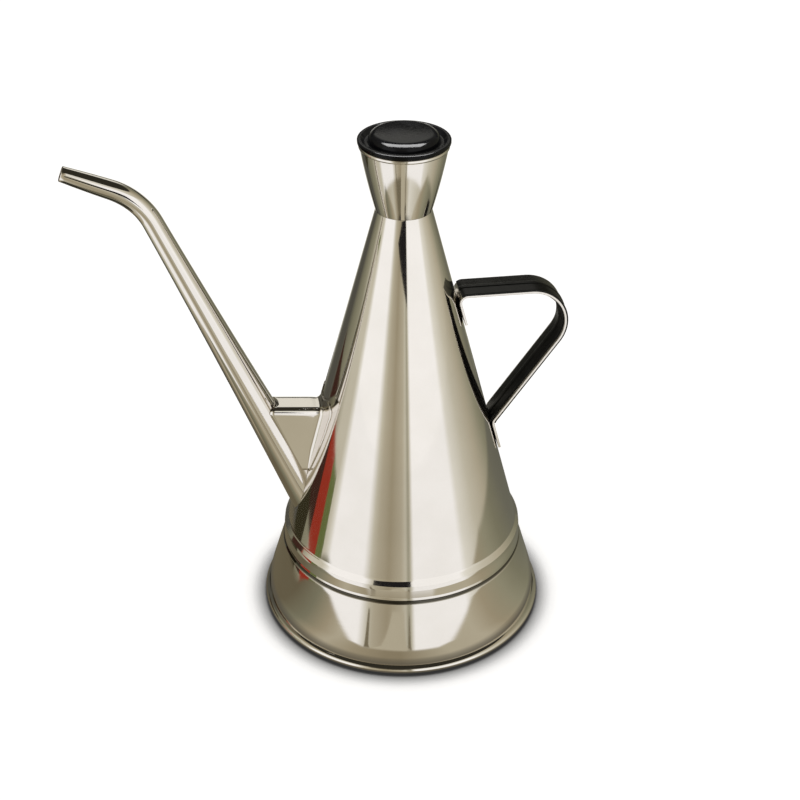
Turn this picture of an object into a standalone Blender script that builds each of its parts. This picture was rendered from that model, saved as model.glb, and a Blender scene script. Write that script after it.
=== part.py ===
"""Conical sheet-steel oil cruet with a long tapered spout, a strap handle and a black stopper.

Metres, +Z up. The origin is on the vessel's axis at the flat underside of the base pan.
The spout points to -X and the handle to +X, both in the XZ plane.
"""
import math

import bmesh
import bpy
from mathutils import Vector

MM = 0.001

# Sheet, gaps and facets
SHEET = 0.7 * MM
GAP = 0.3 * MM
OVERRUN = 4 * MM
MERGE = 0.01 * MM
WIDE_STEPS = 60
NARROW_STEPS = 40
ARC_STEP = math.radians(30)
BEND_STEP = math.radians(9)
SOLVER_ROUNDS = 40
SHARP_ANGLE = math.radians(35)

# Body cone, by its outer surface
CONE_TOP_RADIUS = 11.9 * MM
CONE_TOP_HEIGHT = 199 * MM
CONE_FOOT_RADIUS = 53.3 * MM
CONE_FOOT_HEIGHT = 42.4 * MM
CONE_JOGGLE = 1.0 * MM
CONE_TUCK = 1.3 * MM

# Foot: collar round the cone's tucked edge, groove, flared skirt, edge rolled over a wire
BASE_RADIUS = 65 * MM
ROLL_RADIUS = 2.2 * MM
COLLAR_HEIGHT = 8.4 * MM
COLLAR_BULGE = 0.15 * MM
COLLAR_EDGE_DROP = 0.8 * MM
GROOVE_RISE = 1.5 * MM
GROOVE_DEPTH = 0.4 * MM
SKIRT_SHARES = (
    (0.0, 0.0), (0.03, 0.08), (0.24, 0.27), (0.44, 0.51), (0.62, 0.745), (0.8, 0.93), (1.0, 1.0),
)

# Base pan, soldered inside the skirt
PAN_DEPTH = 10 * MM
PAN_CORNER = 2.2 * MM
PAN_GROOVE_RADIUS = 47 * MM
PAN_GROOVE_WIDTH = 5 * MM
PAN_GROOVE_DEPTH = 1.0 * MM
PAN_GROOVE_SHARES = (0.5, 0.25, -0.25, -0.5)

# Filler cup, its spigot inside the cone's mouth
CUP_HEIGHT = 28.8 * MM
CUP_RADIUS = 18.6 * MM
CUP_ROLL_RADIUS = 1.0 * MM
CUP_BULGE = 0.35 * MM
CUP_SHARES = (0.0, 0.2, 0.4, 0.6, 0.8, 1.0)
SPIGOT_LENGTH = 8 * MM

# Stopper
LIP_OVERHANG = 0.5 * MM
LIP_THICKNESS = 1.8 * MM
LIP_WIDTH = 1.5 * MM
LIP_EDGE = 0.6 * MM
KNOB_RADIUS = 14.6 * MM
KNOB_HEIGHT = 4.3 * MM
KNOB_EDGE = 3.3 * MM
DISH_DROP = 1.7 * MM
PLUG_DEPTH = 12 * MM
PLUG_WALL = 1.5 * MM

# Spout, by its outer surface: a straight taper, a bend and a nozzle
SPOUT_FOOT_HEIGHT = 67.4 * MM
SPOUT_RISE = math.radians(67.1)
SPOUT_LENGTH = 155.2 * MM
NOZZLE_RISE = math.radians(23.1)
NOZZLE_LENGTH = 32.4 * MM
SPOUT_BEND_RADIUS = 29 * MM
SPOUT_FOOT_RADIUS = 8.75 * MM
SPOUT_BEND_TUBE_RADIUS = 4.25 * MM
NOZZLE_RADIUS = 3.15 * MM
SPOUT_TAPER_POWER = 1.4
NOZZLE_TAPER_POWER = 2
SPOUT_SHARES = (0.0, 0.2, 0.4, 0.6, 0.8)
NOZZLE_SHARES = (0.4, 0.75)
SPOUT_ROOT_DEPTH = 14 * MM
TUBE_RESOLUTION = 10

# Brace between spout and cone: a folded saddle with a flange on the cone
BRACE_RISE = 40.1 * MM
BRACE_SLOPE = 0.09
BRACE_CORNER = 2.4 * MM
BRACE_WIDTH_SHARE = 0.92
BRACE_LEAST_LENGTH = 1.2 * MM
FLANGE_WIDTH = 6.8 * MM
FLANGE_LEAST = 1.2 * MM
FLANGE_CORNER_SHARES = (1.2, 1.0, 0.5)
FLANGE_ROOF_SHARE = 0.4
FOLD_RADIUS = 2.2 * MM
BRACE_WALL_SHARES = (0.0, 0.12, 0.28, 0.46, 0.64, 0.82, 1.0)
FOLD_STEPS = 3

# Handle strap, by its centre line, and the covers on its two faces
STRAP_THICKNESS = 1.0 * MM
STRAP_WIDTH = 15 * MM
HANDLE_TOP_HEIGHT = 159.3 * MM
HANDLE_POINT = 84.7 * MM
HANDLE_LOW_HEIGHT = 94.2 * MM
HANDLE_CORNER_RADIUS = 15.8 * MM
TAB_LENGTH = 14.3 * MM
TAB_BEND = 3 * MM
COVER_THICKNESS = 0.4 * MM
OUTER_COVER_INSET = 0.3 * MM
INNER_COVER_INSET = 1.8 * MM
RIB_HEIGHT = 0.3 * MM
RIB_WIDTH = 3 * MM

# Sizes worked out from those above
CONE_SLOPE = (CONE_FOOT_RADIUS - CONE_TOP_RADIUS) / (CONE_TOP_HEIGHT - CONE_FOOT_HEIGHT)
CONE_ANGLE = math.atan(CONE_SLOPE)
TUCK_RADIUS = CONE_FOOT_RADIUS - CONE_JOGGLE
COLLAR_RADIUS = TUCK_RADIUS + GAP + SHEET
COLLAR_TOP = CONE_FOOT_HEIGHT - GAP
SKIRT_TOP = COLLAR_TOP - COLLAR_HEIGHT
SKIRT_TOP_RADIUS = COLLAR_RADIUS + COLLAR_HEIGHT * CONE_SLOPE - GROOVE_DEPTH
ROLL_CENTRE = BASE_RADIUS - ROLL_RADIUS
SHOULDER_HEIGHT = CONE_TOP_HEIGHT + GAP
CUP_TOP = SHOULDER_HEIGHT + CUP_HEIGHT
CUP_ROLL_CENTRE = CUP_RADIUS - CUP_ROLL_RADIUS
SPIGOT_RADIUS = CONE_TOP_RADIUS - SHEET / math.cos(CONE_ANGLE) - GAP
LIP_HEIGHT = CUP_TOP + GAP
BRACE_HEIGHT = SPOUT_FOOT_HEIGHT + BRACE_RISE

# Finishes
STEEL_ROUGHNESS = 0.16
PAN_ROUGHNESS = 0.3
STOPPER_ROUGHNESS = 0.25
COVER_ROUGHNESS = 0.3
STEEL_COLOUR = (0.72, 0.69, 0.62)
DARK_COLOUR = (0.012, 0.012, 0.013)


def remove_everything():
    """Empty the scene, so that the model starts from nothing."""
    for obj in list(bpy.data.objects):
        bpy.data.objects.remove(obj, do_unlink=True)


def new_collection(name):
    """Make a collection and link it to the scene."""
    collection = bpy.data.collections.new(name)
    bpy.context.scene.collection.children.link(collection)
    return collection


def new_material(name, colour, roughness, metallic):
    """Make a Principled material of one colour."""
    material = bpy.data.materials.new(name)
    material.use_nodes = True
    material.diffuse_color = (*colour, 1.0)
    shader = material.node_tree.nodes["Principled BSDF"]
    shader.inputs["Base Color"].default_value = (*colour, 1.0)
    shader.inputs["Roughness"].default_value = roughness
    shader.inputs["Metallic"].default_value = metallic
    return material


def steel(name, roughness=STEEL_ROUGHNESS):
    """The warm polished steel of one piece."""
    return new_material(name + "_steel", STEEL_COLOUR, roughness, 1.0)


def black_plastic(name, roughness):
    """The black plastic of one piece."""
    return new_material(name + "_plastic", DARK_COLOUR, roughness, 0.0)


def arc_points(centre, radius, start, end, largest=ARC_STEP):
    """Points of an arc from one angle to another, both ends included, in steps of at most the largest."""
    count = max(2, math.ceil(abs(end - start) / largest))
    angles = [start + (end - start) * step / count for step in range(count + 1)]
    return [(centre[0] + radius * math.cos(a), centre[1] + radius * math.sin(a)) for a in angles]


def filleted(corners, largest=ARC_STEP):
    """A line through corners (x, y, radius), each inner corner rounded by its radius."""
    points = [Vector(corner[:2]) for corner in corners]
    line = [points[0]]
    for index in range(1, len(corners) - 1):
        here, radius = points[index], corners[index][2]
        back = (points[index - 1] - here).normalized()
        ahead = (points[index + 1] - here).normalized()
        if radius == 0:
            line.append(here)
            continue
        half = back.angle(ahead) / 2
        centre = here + (back + ahead).normalized() * (radius / math.sin(half))
        first = here + back * (radius / math.tan(half)) - centre
        turn = first.angle_signed(here + ahead * (radius / math.tan(half)) - centre)
        start = math.atan2(first.y, first.x)
        line += [Vector(point) for point in arc_points(centre, radius, start, start - turn, largest)]
    line.append(points[-1])
    return [tuple(point) for point in line]


def shifted(line, distance):
    """The line moved sideways by a distance, to the right of its direction, with mitred corners."""
    points = [Vector(point) for point in line]
    ways = [ahead - here for here, ahead in zip(points, points[1:])]
    normals = [Vector((way.y, -way.x)).normalized() for way in ways]
    result = []
    for point, near, far in zip(points, normals[:1] + normals, normals + normals[-1:]):
        middle = (near + far).normalized()
        result.append(tuple(point + middle * (distance / middle.dot(near))))
    return result


def trimmed(line, start, end):
    """The part of a line between two distances, each measured along it from its own end."""
    points = [Vector(point) for point in line]
    for trim in (start, end):
        while (points[1] - points[0]).length < trim:
            trim -= (points[1] - points[0]).length
            points.pop(0)
        points[0] = points[0] + (points[1] - points[0]).normalized() * trim
        points.reverse()
    return [tuple(point) for point in points]


def add_object(name, data, collection, material=None):
    """Link an object, with its material, to a collection."""
    obj = bpy.data.objects.new(name, data)
    if material:
        data.materials.append(material)
    collection.objects.link(obj)
    return obj


def turned(name, outline, steps, collection, material=None):
    """Turn an outline of (radius, height) about the Z axis; ends off the axis are joined up."""
    vertices = [(radius, 0, height) for radius, height in outline]
    edges = [(index, index + 1) for index in range(len(vertices) - 1)]
    if outline[0][0] > 0:
        edges.append((len(vertices) - 1, 0))
    mesh = bpy.data.meshes.new(name)
    mesh.from_pydata(vertices, edges, [])
    obj = add_object(name, mesh, collection, material)
    screw = obj.modifiers.new("turn", "SCREW")
    screw.axis = "Z"
    screw.steps = steps
    screw.render_steps = steps
    screw.use_merge_vertices = True
    screw.merge_threshold = MERGE
    screw.use_smooth_shade = True
    return obj


def flat_curve(name, points, cyclic, collection, material=None):
    """A flat curve through points, which stands in the XZ plane."""
    curve = bpy.data.curves.new(name, "CURVE")
    curve.dimensions = "2D"
    spline = curve.splines.new("POLY")
    spline.points.add(len(points) - 1)
    for point, (x, y) in zip(spline.points, points):
        point.co = (x, y, 0, 1)
    spline.use_cyclic_u = cyclic
    obj = add_object(name, curve, collection, material)
    obj.rotation_euler = (math.pi / 2, 0, 0)
    return obj


def plate(name, outline, width, collection, material=None):
    """A flat outline in the XZ plane, as thick as the width across Y."""
    obj = flat_curve(name, outline, True, collection, material)
    obj.data.fill_mode = "BOTH"
    obj.data.extrude = width / 2
    return obj


def swept(name, line, section, collection, guides):
    """A section of (to the left, across) run along a line in the XZ plane."""
    obj = flat_curve(name, line, False, collection)
    obj.data.bevel_mode = "OBJECT"
    obj.data.bevel_object = flat_curve(name + "_section", section, True, guides)
    obj.data.use_fill_caps = True
    return obj


def tube(name, path, collection):
    """A solid round bar along a path of (x, z, radius) in the XZ plane."""
    curve = bpy.data.curves.new(name, "CURVE")
    curve.dimensions = "3D"
    curve.bevel_depth = 1.0
    curve.bevel_resolution = TUBE_RESOLUTION
    curve.use_fill_caps = True
    spline = curve.splines.new("POLY")
    spline.points.add(len(path) - 1)
    for point, (x, z, radius) in zip(spline.points, path):
        point.co = (x, 0, z, 1)
        point.radius = radius
    return add_object(name, curve, collection)


def as_mesh(obj, collection, material=None):
    """Replace a curve object by a closed mesh object of the same name."""
    bpy.context.view_layer.update()
    evaluated = obj.evaluated_get(bpy.context.evaluated_depsgraph_get())
    mesh = bpy.data.meshes.new_from_object(evaluated)
    work = bmesh.new()
    work.from_mesh(mesh)
    bmesh.ops.remove_doubles(work, verts=work.verts, dist=MERGE)
    work.to_mesh(mesh)
    work.free()
    name, place = obj.name, obj.matrix_world.copy()
    bpy.data.objects.remove(obj, do_unlink=True)
    mesh.materials.clear()
    mesh.shade_smooth()
    mesh.set_sharp_from_angle(angle=SHARP_ANGLE)
    solid = add_object(name, mesh, collection, material)
    solid.matrix_world = place
    return solid


def combine(target, other, operation):
    """Add an exact Boolean with another object."""
    boolean = target.modifiers.new(other.name, "BOOLEAN")
    boolean.solver = "EXACT"
    boolean.operation = operation
    boolean.object = other


def hide_cutters(cutters):
    """Show the cutters as wires only."""
    for obj in cutters.objects:
        obj.hide_render = True
        obj.display_type = "WIRE"


def cone_radius(height):
    """Outer radius of the body cone at a height."""
    return CONE_FOOT_RADIUS + (CONE_FOOT_HEIGHT - height) * CONE_SLOPE


def skirt_radius(height):
    """Outer radius of the skirt at a height, read from its shares."""
    low = 2 * ROLL_RADIUS
    fall_share = (SKIRT_TOP - height) / (SKIRT_TOP - low)
    for (top, near), (bottom, far) in zip(SKIRT_SHARES, SKIRT_SHARES[1:]):
        if fall_share <= bottom:
            break
    spread_share = near + (far - near) * (fall_share - top) / (bottom - top)
    return SKIRT_TOP_RADIUS + (ROLL_CENTRE - SKIRT_TOP_RADIUS) * spread_share


def cup_radius(share):
    """Outer radius of the cup wall at a share of its height: a cone with a slight bulge."""
    wall_top = CUP_ROLL_CENTRE + SHEET / 2
    return CONE_TOP_RADIUS + (wall_top - CONE_TOP_RADIUS) * share + CUP_BULGE * 4 * share * (1 - share)


def spout_radius(distance):
    """Outer radius of the spout at a distance from the bend's corner, below zero on the nozzle."""
    if distance < 0:
        share = (-distance / NOZZLE_LENGTH) ** NOZZLE_TAPER_POWER
        return SPOUT_BEND_TUBE_RADIUS + (NOZZLE_RADIUS - SPOUT_BEND_TUBE_RADIUS) * min(share, 1)
    share = (distance / SPOUT_LENGTH) ** SPOUT_TAPER_POWER
    return SPOUT_BEND_TUBE_RADIUS + (SPOUT_FOOT_RADIUS - SPOUT_BEND_TUBE_RADIUS) * share


def build_body_cone(parts, bore):
    """The conical sheet, its lower edge stepped in and tucked straight down inside the collar."""
    outer = [
        (CONE_TOP_RADIUS, CONE_TOP_HEIGHT),
        (CONE_FOOT_RADIUS, CONE_FOOT_HEIGHT),
        (TUCK_RADIUS, CONE_FOOT_HEIGHT),
        (TUCK_RADIUS, CONE_FOOT_HEIGHT - CONE_TUCK),
    ]
    outline = outer + shifted(outer, SHEET)[::-1]
    cone = turned("body_cone", outline, WIDE_STEPS, parts, steel("body_cone"))
    combine(cone, bore, "DIFFERENCE")


def build_foot(parts):
    """Collar that carries on the cone's slope, groove, flared skirt and rolled edge, one sheet."""
    low_edge = COLLAR_HEIGHT - GROOVE_RISE
    outer = [(COLLAR_RADIUS, COLLAR_TOP)]
    for drop in (COLLAR_EDGE_DROP, low_edge):
        outer.append((COLLAR_RADIUS + drop * CONE_SLOPE + COLLAR_BULGE, COLLAR_TOP - drop))
    outer.append((SKIRT_TOP_RADIUS, SKIRT_TOP))
    low = 2 * ROLL_RADIUS
    for fall_share, spread_share in SKIRT_SHARES[1:]:
        radius = SKIRT_TOP_RADIUS + (ROLL_CENTRE - SKIRT_TOP_RADIUS) * spread_share
        outer.append((radius, SKIRT_TOP - (SKIRT_TOP - low) * fall_share))
    inner_turn = math.acos(SHEET / ROLL_RADIUS)
    roll = arc_points((ROLL_CENTRE, ROLL_RADIUS), ROLL_RADIUS, math.pi / 2, -math.pi - inner_turn)
    outline = outer[:-1] + roll + shifted(outer, SHEET)[-2::-1]
    turned("foot_skirt", outline, WIDE_STEPS, parts, steel("foot_skirt"))


def build_base_pan(parts):
    """The vessel's bottom: a shallow pan with an upright flange and one pressed groove."""
    rim = BASE_RADIUS - 2 * ROLL_RADIUS - GAP
    lip = skirt_radius(PAN_DEPTH) - SHEET - 2 * GAP
    flare = PAN_DEPTH - 2 * ROLL_RADIUS
    groove = [PAN_GROOVE_RADIUS + PAN_GROOVE_WIDTH * share for share in PAN_GROOVE_SHARES]
    under = filleted([
        (lip, PAN_DEPTH, 0),
        (rim, flare, 0),
        (rim, 0, PAN_CORNER),
        (groove[0], 0, 0),
        (groove[1], PAN_GROOVE_DEPTH, 0),
        (groove[2], PAN_GROOVE_DEPTH, 0),
        (groove[3], 0, 0),
        (0, 0, 0),
    ])
    upper = shifted(under, SHEET)
    upper[-1] = (0, SHEET)
    turned("base_pan", upper[::-1] + under, WIDE_STEPS, parts, steel("base_pan", PAN_ROUGHNESS))


def build_filler_cup(parts):
    """The funnel cup: rolled rim, slightly bulged cone, spigot inside the cone's mouth."""
    low = -math.pi / 2
    lean = math.asin(SHEET / 2 / CUP_ROLL_RADIUS)
    roll_height = CUP_TOP - CUP_ROLL_RADIUS
    start = low - lean + 2 * math.pi
    roll = arc_points((CUP_ROLL_CENTRE, roll_height), CUP_ROLL_RADIUS, start, low + lean)
    wall_top = roll[-1][1]
    wall = [(cup_radius(s), SHOULDER_HEIGHT + (wall_top - SHOULDER_HEIGHT) * s) for s in CUP_SHARES[::-1]]
    spigot = [(SPIGOT_RADIUS, SHOULDER_HEIGHT), (SPIGOT_RADIUS, SHOULDER_HEIGHT - SPIGOT_LENGTH)]
    bore = SPIGOT_RADIUS - SHEET
    inside = [(bore, spigot[1][1]), (bore, SHOULDER_HEIGHT)] + shifted(wall, SHEET)[-2:0:-1]
    turned("filler_cup", roll + wall[1:] + spigot + inside, NARROW_STEPS, parts, steel("filler_cup"))


def build_stopper(parts):
    """The moulded stopper: round knob, dished flange with a raised lip, hollow tapered plug."""
    lip_radius = CUP_RADIUS + LIP_OVERHANG
    lip_top = LIP_HEIGHT + LIP_THICKNESS
    dish = lip_top - DISH_DROP
    knob_top = dish + KNOB_HEIGHT
    plug_radius = CUP_ROLL_CENTRE - CUP_ROLL_RADIUS - GAP
    plug_bottom = CUP_TOP - PLUG_DEPTH
    plug_share = (plug_bottom - SHOULDER_HEIGHT) / CUP_HEIGHT
    tip_radius = cup_radius(plug_share) - SHEET - 2 * GAP
    hollow = tip_radius - PLUG_WALL
    dome = KNOB_RADIUS - PLUG_WALL
    outline = filleted([
        (0, knob_top, 0),
        (KNOB_RADIUS, knob_top, KNOB_EDGE),
        (KNOB_RADIUS, dish, 0),
        (plug_radius, dish, 0),
        (lip_radius - LIP_WIDTH, lip_top, 0),
        (lip_radius, lip_top, LIP_EDGE),
        (lip_radius, LIP_HEIGHT, LIP_EDGE),
        (plug_radius, LIP_HEIGHT, 0),
        (plug_radius, LIP_HEIGHT - CUP_ROLL_RADIUS, 0),
        (tip_radius, plug_bottom, 0),
        (hollow, plug_bottom, 0),
        (hollow, dish - PLUG_WALL, 0),
        (dome, dish - PLUG_WALL, 0),
        (dome, knob_top - PLUG_WALL, KNOB_EDGE - PLUG_WALL),
        (0, knob_top - PLUG_WALL, 0),
    ])
    turned("stopper", outline, NARROW_STEPS, parts, black_plastic("stopper", STOPPER_ROUGHNESS))


def spout_axis_x(height):
    """X of the straight tube's centre line at a height."""
    return -cone_radius(SPOUT_FOOT_HEIGHT) - (height - SPOUT_FOOT_HEIGHT) / math.tan(SPOUT_RISE)


def spout_path(wall, extra):
    """The spout's centre line as (x, z, radius): from inside the cone, round the bend, to the tip.

    The wall is taken off the radius, and the extra length lengthens both ends.
    """
    up = Vector((-math.cos(SPOUT_RISE), math.sin(SPOUT_RISE)))
    out = Vector((-math.cos(NOZZLE_RISE), math.sin(NOZZLE_RISE)))
    foot = Vector((spout_axis_x(SPOUT_FOOT_HEIGHT), SPOUT_FOOT_HEIGHT))
    corner = foot + up * SPOUT_LENGTH
    bend_end = SPOUT_BEND_RADIUS * math.tan((SPOUT_RISE - NOZZLE_RISE) / 2)
    root = SPOUT_LENGTH + SPOUT_ROOT_DEPTH + extra
    tip = corner + out * NOZZLE_LENGTH
    straight = [SPOUT_LENGTH + (bend_end - SPOUT_LENGTH) * share for share in SPOUT_SHARES]
    nozzle = [bend_end + (NOZZLE_LENGTH - bend_end) * share for share in NOZZLE_SHARES]
    bend = filleted([(*foot, 0), (*corner, SPOUT_BEND_RADIUS), (*tip, 0)], BEND_STEP)[1:-1]
    line = []
    for distance in [root, *straight]:
        line.append((*(corner - up * distance), spout_radius(distance) - wall))
    for index, point in enumerate(bend):
        distance = bend_end * (1 - 2 * index / (len(bend) - 1))
        line.append((*point, spout_radius(distance) - wall))
    for distance in [*nozzle, NOZZLE_LENGTH + extra]:
        line.append((*(corner + out * distance), spout_radius(-distance) - wall))
    return line


def build_spout(parts, cutters, bore):
    """The tapered, bent tube, coped to the cone and bored through."""
    solid = tube("spout_tube", spout_path(0, 0), parts)
    solid = as_mesh(solid, parts, steel("spout_tube"))
    shell = GAP / math.cos(CONE_ANGLE)
    sides = [(cone_radius(height) + shell, height) for height in (CONE_TOP_HEIGHT, CONE_FOOT_HEIGHT)]
    outline = [(0, CONE_TOP_HEIGHT), *sides, (0, CONE_FOOT_HEIGHT)]
    core = turned("cone_core_cutter", outline, WIDE_STEPS, cutters)
    combine(solid, bore, "DIFFERENCE")
    combine(solid, core, "DIFFERENCE")


def brace_start_x(across, height):
    """X where a level line at a distance across and a height leaves the spout, with the gap."""
    x = spout_axis_x(height)
    foot = Vector((spout_axis_x(SPOUT_FOOT_HEIGHT), SPOUT_FOOT_HEIGHT))
    up = Vector((-math.cos(SPOUT_RISE), math.sin(SPOUT_RISE)))
    for _ in range(SOLVER_ROUNDS):
        along = (Vector((x, height)) - foot).dot(up)
        radius = spout_radius(SPOUT_LENGTH - along) + GAP
        x = spout_axis_x(height) + math.sqrt(max(radius ** 2 - across ** 2, 0)) / math.sin(SPOUT_RISE)
    return x


def brace_end_x(across, height):
    """X where a level line at a distance across and a height meets the cone, with the gap."""
    radius = cone_radius(height) + GAP / math.cos(CONE_ANGLE)
    return -math.sqrt(radius ** 2 - across ** 2)


def brace_half_width(height):
    """Half the brace's inner width at a height, from a share of the spout's radius there."""
    along = (height - SPOUT_FOOT_HEIGHT) / math.sin(SPOUT_RISE)
    return BRACE_WIDTH_SHARE * spout_radius(SPOUT_LENGTH - along) - SHEET


def flange_width(rise_share):
    """Width of the flange at a share of the wall's height."""
    return FLANGE_LEAST + (FLANGE_WIDTH - FLANGE_LEAST) * math.sin(math.pi / 2 * rise_share)


def brace_bottom():
    """Height at which the wall between spout and cone has its least length."""
    low, high = SPOUT_FOOT_HEIGHT, BRACE_HEIGHT
    for _ in range(SOLVER_ROUNDS):
        middle = (low + high) / 2
        across = brace_half_width(middle)
        length = brace_end_x(across, middle) - FLANGE_LEAST - brace_start_x(across, middle)
        low, high = (middle, high) if length < BRACE_LEAST_LENGTH else (low, middle)
    return high


def brace_girth():
    """Half the saddle's inner girth: (across, height, normal across, normal up, flange width)."""
    bottom = brace_bottom()
    roof = BRACE_HEIGHT - SHEET
    shoulder = roof - BRACE_CORNER
    rows = []
    for share in BRACE_WALL_SHARES:
        height = bottom + (shoulder - bottom) * share
        rows.append((brace_half_width(height), height, 1, 0, flange_width(share)))
    centre = brace_half_width(shoulder) - BRACE_CORNER
    for step, share in enumerate(FLANGE_CORNER_SHARES, 1):
        turn = math.pi / 2 * step / len(FLANGE_CORNER_SHARES)
        across, up = math.cos(turn), math.sin(turn)
        place = (centre + BRACE_CORNER * across, shoulder + BRACE_CORNER * up)
        rows.append((*place, across, up, FLANGE_WIDTH * share))
    rows.append((0, roof, 0, 1, FLANGE_WIDTH * FLANGE_ROOF_SHARE))
    return rows


def brace_row(across, height, out_across, out_up, width):
    """One row of the saddle: from the spout along to the cone, round the fold and out along it."""
    fold = min(FOLD_RADIUS, width / 2)
    end = brace_end_x(across, height)
    start = end
    for _ in range(SOLVER_ROUNDS):
        start = brace_start_x(across, height + BRACE_SLOPE * (end - start))
    near = end - fold
    row = [(start, across, height + BRACE_SLOPE * (end - start))]
    row.append(((start + near) / 2, across, height + BRACE_SLOPE * (end - start + fold) / 2))
    for step in range(FOLD_STEPS + 1):
        turn = math.pi / 2 * step / FOLD_STEPS
        out = fold * (1 - math.cos(turn))
        y, z = across + out_across * out, height + out_up * out
        row.append((brace_end_x(y, z) - fold * (1 - math.sin(turn)), y, z))
    y, z = across + out_across * width, height + out_up * width
    row.append((brace_end_x(y, z), y, z))
    return row


def build_spout_brace(parts):
    """The folded saddle: a loft from the round tube to the cone, given its sheet by Solidify."""
    half = [brace_row(*place) for place in brace_girth()]
    rows = half + [[(x, -y, z) for x, y, z in row] for row in half[-2::-1]]
    count = len(rows[0])
    faces = []
    for i in range(len(rows) - 1):
        for j in range(count - 1):
            a, b = i * count + j, (i + 1) * count + j
            faces.append((a, b, b + 1, a + 1))
    mesh = bpy.data.meshes.new("spout_brace")
    mesh.from_pydata([point for row in rows for point in row], [], faces)
    mesh.shade_smooth()
    mesh.set_sharp_from_angle(angle=SHARP_ANGLE)
    brace = add_object("spout_brace", mesh, parts, steel("spout_brace"))
    sheet = brace.modifiers.new("sheet", "SOLIDIFY")
    sheet.thickness = SHEET
    sheet.offset = 1.0
    sheet.use_even_offset = True


def handle_root(height):
    """Where the strap's centre line stands on the cone at a height."""
    stand_off = (GAP + STRAP_THICKNESS / 2) / math.cos(CONE_ANGLE)
    return Vector((cone_radius(height) + stand_off, height))


def handle_slope():
    """Rise of the handle's lower leg above the level."""
    low = handle_root(HANDLE_LOW_HEIGHT)
    return math.atan2(HANDLE_TOP_HEIGHT - low.y, HANDLE_POINT - low.x)


def handle_line():
    """The strap's centre line in the XZ plane, from the top tab's end to the low tab's end."""
    down = Vector((math.sin(CONE_ANGLE), -math.cos(CONE_ANGLE)))
    top = handle_root(HANDLE_TOP_HEIGHT)
    low = handle_root(HANDLE_LOW_HEIGHT)
    return filleted([
        (*(top + down * TAB_LENGTH), 0),
        (*top, TAB_BEND),
        (HANDLE_POINT, HANDLE_TOP_HEIGHT, HANDLE_CORNER_RADIUS),
        (*low, TAB_BEND),
        (*(low + down * TAB_LENGTH), 0),
    ], BEND_STEP)


def band(line, near, far):
    """The outline between two distances to the left of a line."""
    return shifted(line, -near) + shifted(line, -far)[::-1]


def cover_trim(turn):
    """Distance along the strap, from a tab's end, to where a cover clears the cone."""
    half = STRAP_THICKNESS / 2
    reach = half + GAP + COVER_THICKNESS + RIB_HEIGHT
    clear = math.acos((TAB_BEND + half) / (TAB_BEND + reach))
    return TAB_LENGTH + TAB_BEND * (clear - math.tan(turn / 2))


def cover_section(side, inset):
    """A cover's section on one side of the strap: a thin strip with a low rib along its middle."""
    near = STRAP_THICKNESS / 2 + GAP
    far = near + COVER_THICKNESS
    half = STRAP_WIDTH / 2 - inset
    rib = RIB_WIDTH / 2
    ridge = rib - RIB_HEIGHT
    heights = [(near, half), (far, half), (far, rib), (far + RIB_HEIGHT, ridge)]
    section = heights + [(out, -across) for out, across in heights[::-1]]
    return [(side * out, across) for out, across in section][::side]


def build_handle(parts, cutters):
    """The strap with its two tabs, and a ribbed cover on each face of its legs."""
    line = handle_line()
    half = STRAP_THICKNESS / 2
    plate("handle_strap", band(line, -half, half), STRAP_WIDTH, parts, steel("handle_strap"))
    low_turn = CONE_ANGLE + math.pi / 2 - handle_slope()
    legs = trimmed(line, cover_trim(CONE_ANGLE + math.pi / 2), cover_trim(low_turn))
    covers = (("handle_cover_outer", 1, OUTER_COVER_INSET), ("handle_cover_inner", -1, INNER_COVER_INSET))
    for name, side, inset in covers:
        cover = swept(name, legs, cover_section(side, inset), parts, cutters)
        as_mesh(cover, parts, black_plastic(name, COVER_ROUGHNESS))


def main():
    """Build the cruet."""
    remove_everything()
    parts = new_collection("oil_cruet")
    cutters = new_collection("cutters")
    bore = as_mesh(tube("spout_bore_cutter", spout_path(SHEET, OVERRUN), cutters), cutters)
    build_body_cone(parts, bore)
    build_foot(parts)
    build_base_pan(parts)
    build_filler_cup(parts)
    build_stopper(parts)
    build_spout(parts, cutters, bore)
    build_spout_brace(parts)
    build_handle(parts, cutters)
    hide_cutters(cutters)


main()
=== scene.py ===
"""Studio scene for a conical steel oil cruet with a long spout, a strap handle and a black stopper.

Metres, +Z up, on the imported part's own frame: the spout points to -X, the handle to +X.
"""

import math

import bmesh
import bpy
import numpy as np
from mathutils import Matrix, Vector


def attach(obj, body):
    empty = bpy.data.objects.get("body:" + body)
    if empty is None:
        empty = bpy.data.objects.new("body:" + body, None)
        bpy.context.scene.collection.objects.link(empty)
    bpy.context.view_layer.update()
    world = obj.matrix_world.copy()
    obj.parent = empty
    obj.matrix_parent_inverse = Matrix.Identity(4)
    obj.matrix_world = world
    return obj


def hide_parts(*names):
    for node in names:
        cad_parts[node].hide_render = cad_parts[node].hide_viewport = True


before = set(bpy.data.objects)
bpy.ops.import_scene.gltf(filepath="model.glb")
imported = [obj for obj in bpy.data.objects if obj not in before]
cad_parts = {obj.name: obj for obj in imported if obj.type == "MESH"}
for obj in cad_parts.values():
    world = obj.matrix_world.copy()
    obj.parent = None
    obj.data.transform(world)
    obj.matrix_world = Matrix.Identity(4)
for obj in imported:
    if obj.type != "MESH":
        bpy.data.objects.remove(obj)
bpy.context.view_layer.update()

MM = 0.001

# Sheet, the hairline left between two soldered pieces, and the gap that vertices merge across
SHEET = 0.7 * MM
HAIRLINE = 0.05 * MM
MERGE = 0.001 * MM
SHARP_ANGLE = math.radians(35)

# Halvings of a range, and rounds of a length that settles, after which nothing changes any more
HALVINGS = 50
SETTLING_ROUNDS = 40

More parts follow.
